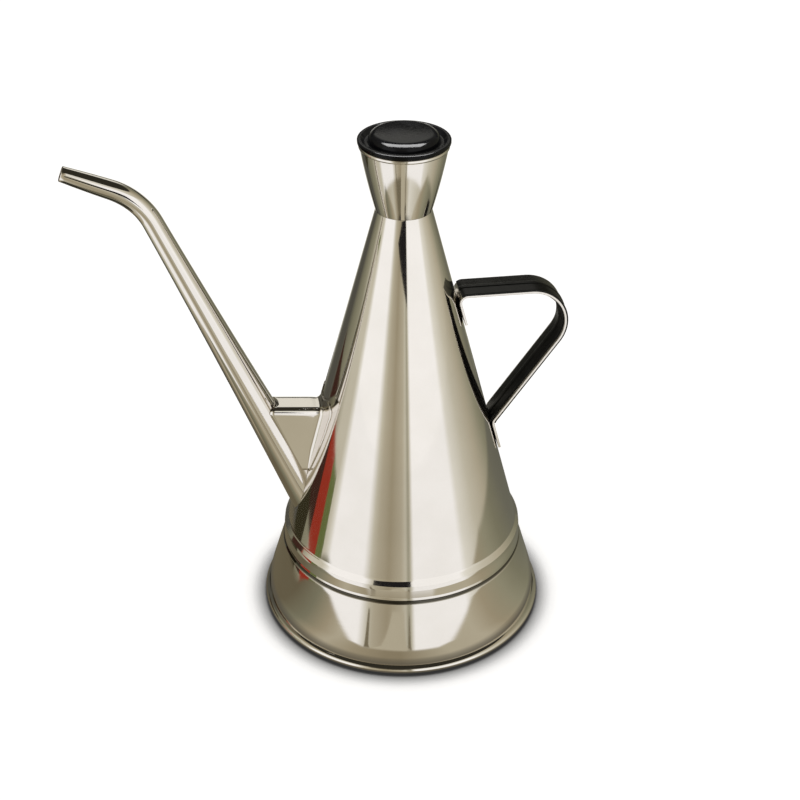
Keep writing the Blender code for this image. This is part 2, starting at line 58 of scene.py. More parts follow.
# Body cone: its slope is the gain in radius over the drop in height
CONE_TOP_RADIUS = 11.9 * MM
CONE_TOP_HEIGHT = 199.2 * MM
CONE_FOOT_RADIUS = 53.3 * MM
CONE_FOOT_HEIGHT = 42.4 * MM
CONE_SLOPE = 41.4 / 156.6
CONE_ANGLE = math.atan(CONE_SLOPE)
CONE_SHEET_LEVEL = SHEET / math.cos(CONE_ANGLE)
CONE_JOGGLE = 0.8 * MM
CONE_TUCK = 1.3 * MM
CONE_TOP_EDGE = SHEET * 0.2
CONE_SIDES = 300

# The cone's flare over the collar, and extra rows that keep the shading even down the cone
FLARE_HEIGHT = 2.2 * MM
FLARE_RADIUS = 54.55 * MM
FLARE_BEND = 3 * MM
FLARE_EDGE = 0.04 * MM
CONE_TOP_ROW = CONE_TOP_HEIGHT - 0.5 * MM
CONE_ROWS = np.arange(190, 50, -10) * MM
FLARE_ROW_GAP = 0.8 * MM

# Foot, in millimetres: (radius, height, rounding) of the collar and (radius, height) of the skirt
COLLAR_LINE = (
    (53.0, 42.36, 0), (54.25, 42.36, 0.04), (54.75, 40.5, 2.0), (54.8, 36.4, 0.8),
    (55.15, 35.4, 0.3), (54.5, 34.3, 0.3), (55.6, 33.3, 0.7), (56.3, 31, 0),
)
SKIRT_LINE = (
    (55.6, 33.3), (56.3, 31), (57.2, 28), (58.4, 24), (59.6, 20), (60.8, 16), (62.0, 12),
    (62.55, 8.4), (62.68, 6.4), (62.75, 4.45),
)
COLLAR_TOP = 42.36 * MM
COLLAR_BOTTOM = 34 * MM
COLLAR_BORE = 52.6 * MM
FOOT_GROOVE = (33.5 * MM, 35.0 * MM)
FOOT_GROOVE_EDGE = 0.35 * MM

# The softened skirt's first points, left out because the collar's last corner stands for them
SKIRT_SKIP = 8

# Rolled bead: half an ellipse outside, a narrower half inside, from under the skirt round and up
BASE_RADIUS = 65 * MM
BEAD_OUTSIDE = 4.2 * MM
BEAD_INSIDE = 0.3 * MM
BEAD_HALF_HEIGHT = 2.3 * MM
BEAD_START = math.radians(62)
BEAD_END = math.radians(-252)

# Base pan: its upturned edge, and the groove pressed up round its underside
PAN_EDGE_RADIUS = 61.4 * MM
PAN_EDGE_HEIGHT = 10 * MM
PAN_RADIUS = 60.3 * MM
PAN_BEND_HEIGHT = 5.6 * MM
PAN_CORNER = 2.2 * MM
PAN_SIDES = 240
PAN_GROOVE_RADIUS = 47 * MM
PAN_GROOVE_DEPTH = 1 * MM
PAN_GROOVE_HALF_WIDTH = 2.5 * MM
PAN_GROOVE_HALF_FLOOR = 1.2 * MM
PAN_GROOVE_CORNER = 1.5 * MM
PAN_SOFT_CORNER = 1 * MM

# Filler cup
SHOULDER_HEIGHT = 199.25 * MM
CUP_HEIGHT = 28.85 * MM
CUP_RADIUS = 18.6 * MM
CUP_ROLL_RADIUS = 1.0 * MM
CUP_ROLL_START = math.radians(248)
CUP_ROLL_END = math.radians(-62)
CUP_BULGE = 0.35 * MM
CUP_ROWS = 25
CUP_SIDES = 240
SPIGOT_LENGTH = 8 * MM
SPIGOT_GAP = 0.1 * MM

# Stopper
LIP_HEIGHT = 228.2 * MM
LIP_TOP = 230.2 * MM
LIP_RADIUS = 19.1 * MM
LIP_WIDTH = 1.5 * MM
LIP_EDGE = 0.6 * MM
KNOB_RADIUS = 14.6 * MM
KNOB_TOP = 232.8 * MM
KNOB_EDGE = 3.3 * MM
DISH_HEIGHT = 228.5 * MM
DISH_WIDTH = 1.6 * MM
DISH_EDGE = 0.5 * MM
PLUG_GAP = 0.3 * MM
PLUG_BOTTOM = 216.1 * MM
PLUG_BOTTOM_RADIUS = 14.35 * MM
PLUG_WALL = 1.5 * MM
PLUG_EDGE = 0.4 * MM
SOFT_EDGE = 0.3 * MM
STOPPER_SIDES = 200

# Spout
SPOUT_FOOT_HEIGHT = 67.4 * MM
SPOUT_RISE = math.radians(67.1)
SPOUT_LENGTH = 155.2 * MM
NOZZLE_RISE = math.radians(23.1)
NOZZLE_LENGTH = 32.4 * MM
NOZZLE_LIP = 0.5 * MM
SPOUT_BEND_RADIUS = 29 * MM
SPOUT_FOOT_RADIUS = 8.75 * MM
SPOUT_BEND_TUBE_RADIUS = 4.25 * MM
NOZZLE_RADIUS = 3.15 * MM
SPOUT_TAPER_POWER = 1.4
NOZZLE_TAPER_POWER = 2
SPOUT_WALL = SHEET * 0.8
SPOUT_SIDES = 72
SPOUT_ROWS = 30
NOZZLE_ROWS = 12
NOZZLE_LIP_ROWS = 8
SPOUT_SEARCH = (20 * MM, SPOUT_LENGTH + 40 * MM)

# Brace: its wall's width is a share of the spout's, and its flange's width changes round the corner
BRACE_SHEET = 0.35 * MM
BRACE_HEIGHT = 107.5 * MM
BRACE_SLOPE = 0.09
BRACE_CORNER = 2.6 * MM
BRACE_WIDTH_SHARE = 0.92
BRACE_LEAST_LENGTH = 1.2 * MM
BRACE_WALL_ROWS = 24
BRACE_CORNER_ROWS = 9
BRACE_ROOF_ROWS = 4
BRACE_STEPS = 11
FOLD_STEPS = 7
FLANGE_STEPS = 4
FLANGE_WIDTH = 6.8 * MM
FLANGE_LEAST = 1.2 * MM
FLANGE_ROUND_CORNER = ((0, 1.0), (30, 1.2), (60, 1.0), (90, 0.5))
FLANGE_MIDDLE_SHARE = 0.4
FOLD_RADIUS = 2.2 * MM

# Handle
STRAP_THICKNESS = 1.0 * MM
STRAP_WIDTH = 15 * MM
STRAP_EDGE = 0.2 * MM
HANDLE_TOP_HEIGHT = 159.3 * MM
HANDLE_POINT = 84.7 * MM
HANDLE_LOW_HEIGHT = 94.2 * MM
HANDLE_CORNER_RADIUS = 15.8 * MM
TAB_LENGTH = 14.3 * MM
TAB_BEND = 3 * MM
COVER_GAP = 0.1 * MM
COVER_THICKNESS = 0.6 * MM
COVER_LAP = 0.5 * MM
COVER_EDGE_SHARE = 0.4
OUTER_COVER_INSET = 0.3 * MM
INNER_COVER_INSET = 1.8 * MM
RIB_HEIGHT = 0.3 * MM
RIB_WIDTH = 3 * MM
RIB_EDGE = 0.4 * MM


# ---------------------------------------------------------------- lines

def arc(centre, radius, start, end, step):
    """Points centre + radius (cos a, sin a), a from start to end in even steps of at most step."""
    angles = np.linspace(start, end, max(3, math.ceil(abs(end - start) / step) + 1))
    return np.stack([centre[0] + radius * np.cos(angles), centre[1] + radius * np.sin(angles)], 1)


def filleted(corners, step=math.radians(6)):
    """A line through corners (x, y, radius), each rounded by an arc tangent to both its sides."""
    points = np.array([corner[:2] for corner in corners])
    radii = [corner[2] for corner in corners]
    parts = [points[:1]]
    for here, last, following, radius in zip(points[1:-1], points, points[2:], radii[1:-1]):
        back = (last - here) / np.linalg.norm(last - here)
        ahead = (following - here) / np.linalg.norm(following - here)
        half = math.acos(np.clip(back @ ahead, -1, 1)) / 2
        if radius == 0 or abs(half - math.pi / 2) < 1e-6:
            parts.append(here[None])
            continue
        middle = (back + ahead) / np.linalg.norm(back + ahead)
        centre = here + middle * radius / math.sin(half)
        first = here + back * radius / math.tan(half) - centre
        final = here + ahead * radius / math.tan(half) - centre
        turn = math.atan2(first[0] * final[1] - first[1] * final[0], first @ final)
        start = math.atan2(first[1], first[0])
        parts.append(arc(centre, radius, start, start + turn, step))
    return np.concatenate(parts + [points[-1:]])


def softened(line, rounds=4):
    """The line with its corners cut at a quarter from each end, round after round, ends kept."""
    line = np.array(line, float)
    for _ in range(rounds):
        near, far = line[:-1] * 0.75 + line[1:] * 0.25, line[:-1] * 0.25 + line[1:] * 0.75
        cut = np.stack([near, far], 1).reshape(-1, 2)[1:-1]
        line = np.concatenate([line[:1], cut, line[-1:]])
    return line


def sideways(line):
    """Mitred vectors that move each point of a line by one metre to the right of its direction."""
    way = np.diff(line, axis=0)
    normal = np.stack([way[:, 1], -way[:, 0]], 1) / np.linalg.norm(way, axis=1)[:, None]
    near, far = np.vstack([normal[:1], normal]), np.vstack([normal, normal[-1:]])
    return (near + far) / (1 + (near * far).sum(1))[:, None]


def shifted(line, distance):
    """The line moved by a distance to the right of its direction."""
    return line + sideways(line) * distance


# ---------------------------------------------------------------- pieces

def new_object(name, vertices, faces, material):
    """A mesh object in the scene, with one material."""
    mesh = bpy.data.meshes.new(name)
    mesh.from_pydata(vertices, [], faces)
    mesh.materials.append(material)
    obj = bpy.data.objects.new(name, mesh)
    bpy.context.scene.collection.objects.link(obj)
    return obj


def dress(obj, body, node):
    """Let an object ride on a body and stand for a CAD node, whose part is hidden."""
    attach(obj, body)
    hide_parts(node)


def piece(name, vertices, faces, material, body, node):
    """A closed, smooth-shaded mesh object that rides on a body and stands for a CAD node."""
    obj = new_object(name, vertices.tolist(), faces, material)
    work = bmesh.new()
    work.from_mesh(obj.data)
    bmesh.ops.remove_doubles(work, verts=work.verts, dist=MERGE)
    bmesh.ops.recalc_face_normals(work, faces=work.faces)
    work.to_mesh(obj.data)
    work.free()
    obj.data.shade_smooth()
    obj.data.set_sharp_from_angle(angle=SHARP_ANGLE)
    dress(obj, body, node)
    return obj


def grid_faces(rows, columns, wrap_rows, wrap_columns):
    """Quads of a grid of vertices, whose last row and column may join the first."""
    i, j = np.meshgrid(np.arange(rows if wrap_rows else rows - 1),
                       np.arange(columns if wrap_columns else columns - 1), indexing="ij")
    k, m = (i + 1) % rows, (j + 1) % columns
    quads = np.stack([i * columns + j, k * columns + j, k * columns + m, i * columns + m], -1)
    return quads.reshape(-1, 4).tolist()


def turned(name, outline, material, body, node, sides):
    """Each outline point (r, z) goes round to (r cos a, r sin a, z); off the axis its ends join."""
    outline = np.array(outline)
    angle = np.linspace(0, 2 * math.pi, sides, endpoint=False)
    radius = outline[:, :1]
    height = np.broadcast_to(outline[:, 1:], (len(outline), sides))
    vertices = np.stack([radius * np.cos(angle), radius * np.sin(angle), height], -1).reshape(-1, 3)
    faces = grid_faces(len(outline), sides, outline[0, 0] > 0, True)
    return piece(name, vertices, faces, material, body, node)


def swept(name, line, section, material, body, node):
    """Each section point (out, across) follows the line: (x, z) + normal * out, with y = across."""
    line, section = np.array(line), np.array(section)
    place = line[:, None] - sideways(line)[:, None] * section[None, :, :1]
    across = np.broadcast_to(section[None, :, 1], place.shape[:2])
    vertices = np.stack([place[..., 0], across, place[..., 1]], -1).reshape(-1, 3)
    count = len(section)
    faces = grid_faces(len(line), count, False, True)
    faces += [list(range(count)), list(range((len(line) - 1) * count, len(line) * count))]
    piece(name, vertices, faces, material, body, node)


# ---------------------------------------------------------------- shaders

class Value:
    """A socket that carries a number, on which arithmetic adds Math nodes."""

    def __init__(self, shader, socket):
        self.shader = shader
        self.socket = socket

    def apply(self, operation, *others):
        """A Math node on this number and others."""
        values = {index + 1: other for index, other in enumerate(others)}
        return self.shader.number("ShaderNodeMath", {"operation": operation}, {0: self, **values})

    def __add__(self, other):
        return self.apply("ADD", other)

    def __sub__(self, other):
        return self.apply("SUBTRACT", other)

    def __rsub__(self, other):
        return self.shader.number("ShaderNodeMath", {"operation": "SUBTRACT"}, {0: other, 1: self})

    def __mul__(self, other):
        return self.apply("MULTIPLY", other)

    def __truediv__(self, other):
        return self.apply("DIVIDE", other)

    __radd__ = __add__


class Shader:
    """A material's or the world's node tree, emptied, with one way to add a node."""

    def __init__(self, owner):
        owner.use_nodes = True
        self.tree = owner.node_tree
        self.tree.nodes.clear()

    def node(self, kind, settings=None, inputs=None):
        """Add a node: its settings or a ramp's stops, then the values or links of its sockets."""
        node = self.tree.nodes.new(kind)
        for key, value in (settings or {}).items():
            if key == "stops":
                ramp = node.color_ramp
                while len(ramp.elements) < len(value):
                    ramp.elements.new(0.5)
                for element, (place, tint) in zip(ramp.elements, value):
                    element.position = place
                    element.color = (*tint, 1.0)
            else:
                setattr(node, key, value)
        for key, value in (inputs or {}).items():
            socket = node.inputs[key]
            if isinstance(value, Value):
                self.tree.links.new(value.socket, socket)
            elif isinstance(value, bpy.types.NodeSocket):
                self.tree.links.new(value, socket)
            else:
                socket.default_value = value
        return node

    def number(self, kind, settings, inputs, output=0):
        """A node whose output is read as a number."""
        return Value(self, self.node(kind, settings, inputs).outputs[output])

    def coordinates(self):
        """The Object coordinates."""
        return self.node("ShaderNodeTexCoord").outputs["Object"]

    def place(self):
        """X, Y and Z of the Object coordinates."""
        xyz = self.node("ShaderNodeSeparateXYZ", {}, {0: self.coordinates()})
        return [Value(self, socket) for socket in xyz.outputs]

    def stretched(self, x, y, z):
        """Object coordinates multiplied along each axis."""
        inputs = {"Vector": self.coordinates(), "Scale": (x, y, z)}
        return self.node("ShaderNodeMapping", {}, inputs).outputs[0]

    def noise(self, vector, scale, detail, roughness=0.5):
        """Noise from 0 to 1 about 0.5, of a scale in cells per metre."""
        inputs = {"Vector": vector, "Scale": scale, "Detail": detail, "Roughness": roughness}
        return self.number("ShaderNodeTexNoise", {}, inputs)

    def remap(self, value, low, high, to_low, to_high, smooth=False):
        """A value's range carried to another, and clamped to it."""
        settings = {"interpolation_type": "SMOOTHSTEP" if smooth else "LINEAR"}
        inputs = {0: value, 1: low, 2: high, 3: to_low, 4: to_high}
        return self.number("ShaderNodeMapRange", settings, inputs)

    def window(self, value, low, high, soft):
        """One between two bounds and zero outside, with soft edges."""
        return (self.remap(value, low - soft, low + soft, 0.0, 1.0, True)
                * self.remap(value, high - soft, high + soft, 1.0, 0.0, True))

    def ramp(self, value, stops):
        """A colour read from stops by a value from 0 to 1."""
        return self.node("ShaderNodeValToRGB", {"stops": stops}, {0: value}).outputs[0]

    def blend(self, share, first, second):
        """Two colours mixed by a share of the second."""
        inputs = {0: share, 6: first, 7: second}
        return self.node("ShaderNodeMix", {"data_type": "RGBA"}, inputs).outputs[2]

    def bump(self, height, distance):
        """A bumped normal."""
        inputs = {"Height": height, "Distance": distance, "Strength": 1.0}
        return self.node("ShaderNodeBump", {}, inputs).outputs[0]

    def glow(self, tint, strength=1.0):
        """A surface that gives off a colour."""
        return self.node("ShaderNodeEmission", {}, {"Color": tint, "Strength": strength}).outputs[0]

    def mix(self, share, first, second):
        """Two surfaces mixed by a share of the second."""
        return self.node("ShaderNodeMixShader", {}, {0: share, 1: first, 2: second}).outputs[0]

    def finish(self, surface, kind="ShaderNodeOutputMaterial"):
        """Link the surface to the output."""
        self.node(kind, {}, {"Surface": surface})


def new_shader(name):
    """A new material and its empty shader."""
    material = bpy.data.materials.new(name)
    return material, Shader(material)


def colour(red, green, blue):
    """A linear colour from display values of 0 to 255."""
    return tuple(((value / 255 + 0.055) / 1.055) ** 2.4 if value > 10 else value / 255 / 12.92
                 for value in (red, green, blue))


# Linear colours of the metal, of its cloudy places and of the painted shade in a groove
STEEL = (0.80, 0.765, 0.725)
STEEL_CLOUD = (0.77, 0.735, 0.69)
GROOVE_SHADE = (0.03, 0.027, 0.018)
GROOVE_SHADE_SHARE = 0.9

# Cells per metre of the noises, ranges of them that change the colour, how far they change the
# roughness, depths of the bumps and shares in them, and how much paler rubbed plastic is
CLOUD_SCALE = 60.0
SPECK_SCALE = 2600.0
RUBBED_SCALE = 120.0
CLOUD_RANGE = (0.35, 0.7)
RUBBED_RANGE = (0.45, 0.75)
CLOUD_ROUGHNESS, LINES_ROUGHNESS, SPECK_ROUGHNESS = 0.04, 0.05, 0.03
GRAIN_ROUGHNESS, RUBBED_ROUGHNESS = 0.12, 0.15
STEEL_RELIEF = 0.003 * MM
SPECK_RELIEF, CLOUD_RELIEF = 0.15, 2.0
PLASTIC_RELIEF = 0.02 * MM
RUBBED_GAIN = 2.2


def steel(name, roughness, grain_scale, grain, shaded_groove=None):
    """Polished steel: clouds in its colour and gloss, lines along the grain, and painted shade in a
    groove.
    """
    material, s = new_shader(name)
    coordinates = s.coordinates()
    cloud = s.noise(coordinates, CLOUD_SCALE, detail=4.0)
    lines = s.noise(s.stretched(*grain_scale), scale=1.0, detail=3.0, roughness=0.6)
    speck = s.noise(coordinates, SPECK_SCALE, detail=2.0)
    base = s.blend(s.remap(cloud, *CLOUD_RANGE, 0.0, 1.0), (*STEEL, 1.0), (*STEEL_CLOUD, 1.0))
    if shaded_groove:
        # Painted shade: the steel's colour is darkened in a band of heights round the groove
        groove_shade_mask = s.window(s.place()[2], *shaded_groove, FOOT_GROOVE_EDGE)
        base = s.blend(groove_shade_mask * GROOVE_SHADE_SHARE, base, (*GROOVE_SHADE, 1.0))
    rough = (roughness + (cloud - 0.5) * CLOUD_ROUGHNESS + (lines - 0.5) * LINES_ROUGHNESS
             + (speck - 0.5) * SPECK_ROUGHNESS)
    normal = s.bump(lines * grain + speck * SPECK_RELIEF + cloud * CLOUD_RELIEF, STEEL_RELIEF)
    inputs = {"Base Color": base, "Metallic": 1.0, "Roughness": rough, "Normal": normal}
    s.finish(s.node("ShaderNodeBsdfPrincipled", {}, inputs).outputs[0])
    return material


def plastic(name, dark, roughness, gloss, grain_scale):
    """Black plastic: a dull sheen, fine grain and slightly paler rubbed places."""
    material, s = new_shader(name)
    coordinates = s.coordinates()
    grain = s.noise(coordinates, grain_scale, detail=3.0)
    rubbed = s.noise(coordinates, RUBBED_SCALE, detail=3.0)
    pale = tuple(value * RUBBED_GAIN for value in dark)
    base = s.blend(s.remap(rubbed, *RUBBED_RANGE, 0.0, 1.0), (*dark, 1.0), (*pale, 1.0))
    rough = roughness + (grain - 0.5) * GRAIN_ROUGHNESS + (rubbed - 0.5) * RUBBED_ROUGHNESS
    inputs = {"Base Color": base, "Roughness": rough, "Specular IOR Level": gloss,
              "Normal": s.bump(grain, PLASTIC_RELIEF)}
    s.finish(s.node("ShaderNodeBsdfPrincipled", {}, inputs).outputs[0])
    return material


drawn_steel = steel("drawn_steel", roughness=0.065, grain_scale=(500, 500, 25), grain=0.5)
spun_steel = steel("spun_steel", roughness=0.065, grain_scale=(25, 25, 900), grain=0.5)
# The foot's steel, with painted shade in its groove
foot_steel = steel("foot_steel", roughness=0.065, grain_scale=(25, 25, 900), grain=0.5,
                   shaded_groove=FOOT_GROOVE)
pan_steel = steel("pan_steel", roughness=0.3, grain_scale=(60, 60, 900), grain=1.0)
strap_steel = steel("strap_steel", roughness=0.2, grain_scale=(300, 40, 300), grain=0.5)
stopper_black = plastic("stopper_black", dark=(0.0006, 0.0006, 0.0007), roughness=0.13,
                        gloss=0.12, grain_scale=900.0)
cover_black = plastic("cover_black", dark=(0.004, 0.004, 0.004), roughness=0.3,
                      gloss=0.2, grain_scale=1500.0)


# ---------------------------------------------------------------- vessel

def cone_radius(height):
    """Outer radius of the body cone at a height."""
    return CONE_FOOT_RADIUS + (CONE_FOOT_HEIGHT - height) * CONE_SLOPE


def foot_outline():
    """Closed outline of collar, skirt and bead: (half width * cos a, half height * (1 + sin a))."""
    collar = filleted([(r * MM, z * MM, radius * MM) for r, z, radius in COLLAR_LINE])[:-1]
    skirt = softened(np.array(SKIRT_LINE) * MM)[SKIRT_SKIP:]
    circle = arc((0, 0), 1, BEAD_START, BEAD_END, step=math.radians(5))
    half_width = np.where(circle[:, 0] > 0, BEAD_OUTSIDE, BEAD_INSIDE)
    bead = np.stack([BASE_RADIUS - BEAD_OUTSIDE + half_width * circle[:, 0],
                     BEAD_HALF_HEIGHT * (1 + circle[:, 1])], 1)
    inner = shifted(np.array(SKIRT_LINE[:-1]) * MM - (SHEET, 0), SHEET / 4)[::-1]
    bore = [(COLLAR_BORE, COLLAR_BOTTOM), (COLLAR_BORE, COLLAR_TOP)]
    return np.concatenate([collar, skirt, bead, inner, bore])


def cone_outline():
    """Closed outline of the cone, whose lower edge flares, steps in and is tucked in the collar."""
    tuck = CONE_FOOT_RADIUS - CONE_JOGGLE
    flare = CONE_FOOT_HEIGHT + FLARE_HEIGHT
    rows = [CONE_TOP_ROW, *CONE_ROWS, flare + FLARE_ROW_GAP]
    outer = filleted([
        (CONE_TOP_RADIUS - SHEET / 2, CONE_TOP_HEIGHT, 0),
        (CONE_TOP_RADIUS, CONE_TOP_HEIGHT, CONE_TOP_EDGE),
        *[(cone_radius(height), height, 0) for height in rows],
        (cone_radius(flare), flare, FLARE_BEND),
        (FLARE_RADIUS, CONE_FOOT_HEIGHT, FLARE_EDGE),
        (tuck, CONE_FOOT_HEIGHT, 0),
        (tuck, CONE_FOOT_HEIGHT - CONE_TUCK, 0),
    ])
    inside = np.array([
        (tuck - SHEET, CONE_FOOT_HEIGHT - CONE_TUCK),
        (tuck - SHEET, CONE_FOOT_HEIGHT + SHEET),
        (CONE_TOP_RADIUS - CONE_SHEET_LEVEL, CONE_TOP_HEIGHT),
    ])
    return np.concatenate([outer, inside])


def cup_outline():
    """Closed outline of the cup: rolled rim, wall bulged by 4 * bulge * t * (1 - t), and spigot."""
    centre = (CUP_RADIUS - CUP_ROLL_RADIUS, SHOULDER_HEIGHT + CUP_HEIGHT - CUP_ROLL_RADIUS)
    roll = arc(centre, CUP_ROLL_RADIUS, CUP_ROLL_START, CUP_ROLL_END, step=math.radians(9))
    share = np.linspace(1, 0, CUP_ROWS)
    top_radius, top_height = roll[-1]
    bulge = CUP_BULGE * 4 * share * (1 - share)
    radius = CONE_TOP_RADIUS + (top_radius - CONE_TOP_RADIUS) * share + bulge
    wall = np.stack([radius, SHOULDER_HEIGHT + (top_height - SHOULDER_HEIGHT) * share], 1)
    spigot = CONE_TOP_RADIUS - CONE_SHEET_LEVEL - SPIGOT_GAP
    low = SHOULDER_HEIGHT - SPIGOT_LENGTH
    neck = np.array([(spigot, SHOULDER_HEIGHT), (spigot, low),
                     (spigot - SHEET, low), (spigot - SHEET, SHOULDER_HEIGHT)])
    inner = shifted(wall, SHEET)[-2:0:-1]
    return np.concatenate([roll, wall[1:], neck, inner])


def stopper_outline():
    """Outline of the stopper from the knob's middle round to the hollow's middle."""
    plug = CUP_RADIUS - 2 * CUP_ROLL_RADIUS - PLUG_GAP
    hollow = PLUG_BOTTOM_RADIUS - PLUG_WALL
    ceiling = DISH_HEIGHT - PLUG_WALL
    dome = KNOB_RADIUS - PLUG_WALL
    return filleted([
        (0, KNOB_TOP, 0),
        (KNOB_RADIUS, KNOB_TOP, KNOB_EDGE),
        (KNOB_RADIUS, DISH_HEIGHT, DISH_EDGE),
        (KNOB_RADIUS + DISH_WIDTH, DISH_HEIGHT, DISH_EDGE),
        (LIP_RADIUS - LIP_WIDTH, LIP_TOP, SOFT_EDGE),
        (LIP_RADIUS, LIP_TOP, LIP_EDGE),
        (LIP_RADIUS, LIP_HEIGHT, LIP_EDGE),
        (plug, LIP_HEIGHT, 0),
        (plug, LIP_HEIGHT - CUP_ROLL_RADIUS, 0),
        (PLUG_BOTTOM_RADIUS, PLUG_BOTTOM, PLUG_EDGE),
        (hollow, PLUG_BOTTOM, PLUG_EDGE),
        (hollow, ceiling, SOFT_EDGE),
        (dome, ceiling, 0),
        (dome, KNOB_TOP - PLUG_WALL, KNOB_EDGE - PLUG_WALL),
        (0, KNOB_TOP - PLUG_WALL, 0),
    ], step=math.radians(7.5))


def pan_outline():
    """Outline of the base pan, from the middle of its upper face round to the middle below."""
    under = filleted([
        (PAN_EDGE_RADIUS, PAN_EDGE_HEIGHT, 0),
        (PAN_RADIUS, PAN_BEND_HEIGHT, PAN_SOFT_CORNER),
        (PAN_RADIUS, 0, PAN_CORNER),
        (PAN_GROOVE_RADIUS + PAN_GROOVE_HALF_WIDTH, 0, PAN_GROOVE_CORNER),
        (PAN_GROOVE_RADIUS + PAN_GROOVE_HALF_FLOOR, PAN_GROOVE_DEPTH, PAN_SOFT_CORNER),
        (PAN_GROOVE_RADIUS - PAN_GROOVE_HALF_FLOOR, PAN_GROOVE_DEPTH, PAN_SOFT_CORNER),
        (PAN_GROOVE_RADIUS - PAN_GROOVE_HALF_WIDTH, 0, PAN_GROOVE_CORNER),
        (0, 0, 0),
    ])
    upper = shifted(under, SHEET)
    upper[-1] = (0, SHEET)
    return np.concatenate([upper[::-1], under])


# ---------------------------------------------------------------- spout and brace

def spout_radius(distance):
    """Outer radius of the spout at a distance from the bend's corner, below zero on the nozzle."""
    down = np.clip(distance / SPOUT_LENGTH, 0, None) ** SPOUT_TAPER_POWER
    out = np.clip(-distance / NOZZLE_LENGTH, 0, 1) ** NOZZLE_TAPER_POWER
    return (SPOUT_BEND_TUBE_RADIUS + (SPOUT_FOOT_RADIUS - SPOUT_BEND_TUBE_RADIUS) * down
            + (NOZZLE_RADIUS - SPOUT_BEND_TUBE_RADIUS) * out)


# Directions and points (x, z) of the spout's centre line
UP = np.array([-math.cos(SPOUT_RISE), math.sin(SPOUT_RISE)])
OUT = np.array([-math.cos(NOZZLE_RISE), math.sin(NOZZLE_RISE)])
SPOUT_FOOT = np.array([-cone_radius(SPOUT_FOOT_HEIGHT), SPOUT_FOOT_HEIGHT])
CORNER = SPOUT_FOOT + UP * SPOUT_LENGTH


def build_spout():
    """Rings C + r (cos a n + sin a y) along the centre line C, cut to end on the cone."""
    angle = np.linspace(0, 2 * math.pi, SPOUT_SIDES, endpoint=False)
    bend_reach = SPOUT_BEND_RADIUS * math.tan((SPOUT_RISE - NOZZLE_RISE) / 2)
    tip = CORNER + OUT * NOZZLE_LENGTH
    line = filleted([(*SPOUT_FOOT, 0), (*CORNER, SPOUT_BEND_RADIUS), (*tip, 0)],
                    step=math.radians(2))
    bend = line[1:-1]
    nozzle = tip - OUT * NOZZLE_LIP
    share = np.linspace(0, 1, NOZZLE_ROWS + 1)[1:, None]
    centre = np.concatenate([bend, bend[-1] + (nozzle - bend[-1]) * share])
    nozzle_reach = NOZZLE_LENGTH - NOZZLE_LIP - bend_reach
    distance = np.concatenate([np.linspace(bend_reach, -bend_reach, len(bend)),
                               -bend_reach - nozzle_reach * share[:, 0]])
    step = np.gradient(centre, axis=0)
    way = step / np.linalg.norm(step, axis=1)[:, None]

    def rings(middle, direction, radius):
        """Rings of points square to each direction in the XZ plane."""
        side = np.stack([-direction[:, 1], direction[:, 0]], 1)
        radius = np.broadcast_to(radius, (len(middle), SPOUT_SIDES))
        x = middle[:, :1] + radius * np.cos(angle) * side[:, :1]
        z = middle[:, 1:] + radius * np.cos(angle) * side[:, 1:]
        return np.stack([x, radius * np.sin(angle), z], -1)

    def straight(wall):
        """Rows of the straight tube, from the cone's surface to the start of the bend."""

        def points(away):
            """Points of the tube at distances below the bend's corner."""
            radius = spout_radius(away) - wall
            x = CORNER[0] - UP[0] * away - radius * np.cos(angle) * UP[1]
            z = CORNER[1] - UP[1] * away + radius * np.cos(angle) * UP[0]
            return np.stack([x, radius * np.sin(angle), z], -1)

        low, high = (np.full(SPOUT_SIDES, bound) for bound in SPOUT_SEARCH)
        for _ in range(HALVINGS):
            middle = (low + high) / 2
            x, y, z = points(middle).T
            outside = np.hypot(x, y) > cone_radius(z) + HAIRLINE
            low, high = np.where(outside, middle, low), np.where(outside, high, middle)
        return points(low + (bend_reach - low) * np.linspace(0, 1, SPOUT_ROWS + 1)[:-1, None])

    radius = spout_radius(distance)[:, None]
    outer = np.concatenate([straight(0), rings(centre, way, radius)])
    turn = np.linspace(0, math.pi, NOZZLE_LIP_ROWS + 1)[1:-1, None]
    lip = rings(nozzle + OUT * (np.sin(turn) * SPOUT_WALL / 2), np.tile(OUT, (len(turn), 1)),
                NOZZLE_RADIUS - SPOUT_WALL / 2 + np.cos(turn) * SPOUT_WALL / 2)
    inner = np.concatenate([straight(SPOUT_WALL), rings(centre, way, radius - SPOUT_WALL)])[::-1]
    grid = np.concatenate([outer, lip, inner])
    faces = grid_faces(len(grid), SPOUT_SIDES, True, True)
    piece("spout", grid.reshape(-1, 3), faces,
          drawn_steel, "vessel", "spout_tube")


def brace_start_x(across, height):
    """X where a level line at a distance across and a height leaves the spout."""
    axis = SPOUT_FOOT[0] - (height - SPOUT_FOOT_HEIGHT) / math.tan(SPOUT_RISE)
    x = axis
    for _ in range(SETTLING_ROUNDS):
        along = (x - SPOUT_FOOT[0]) * UP[0] + (height - SPOUT_FOOT_HEIGHT) * UP[1]
        radius = spout_radius(SPOUT_LENGTH - along) + HAIRLINE
        x = axis + np.sqrt(np.clip(radius ** 2 - across ** 2, 0, None)) / math.sin(SPOUT_RISE)
    return x


def brace_end_x(across, height):
    """X where a level line at a distance across and a height meets the cone."""
    radius = cone_radius(height) + HAIRLINE / math.cos(CONE_ANGLE)
    return -np.sqrt(radius ** 2 - across ** 2)


def brace_half_width(height):
    """Half the brace's inner width at a height."""
    along = (height - SPOUT_FOOT_HEIGHT) / math.sin(SPOUT_RISE)
    return BRACE_WIDTH_SHARE * spout_radius(SPOUT_LENGTH - along) - BRACE_SHEET


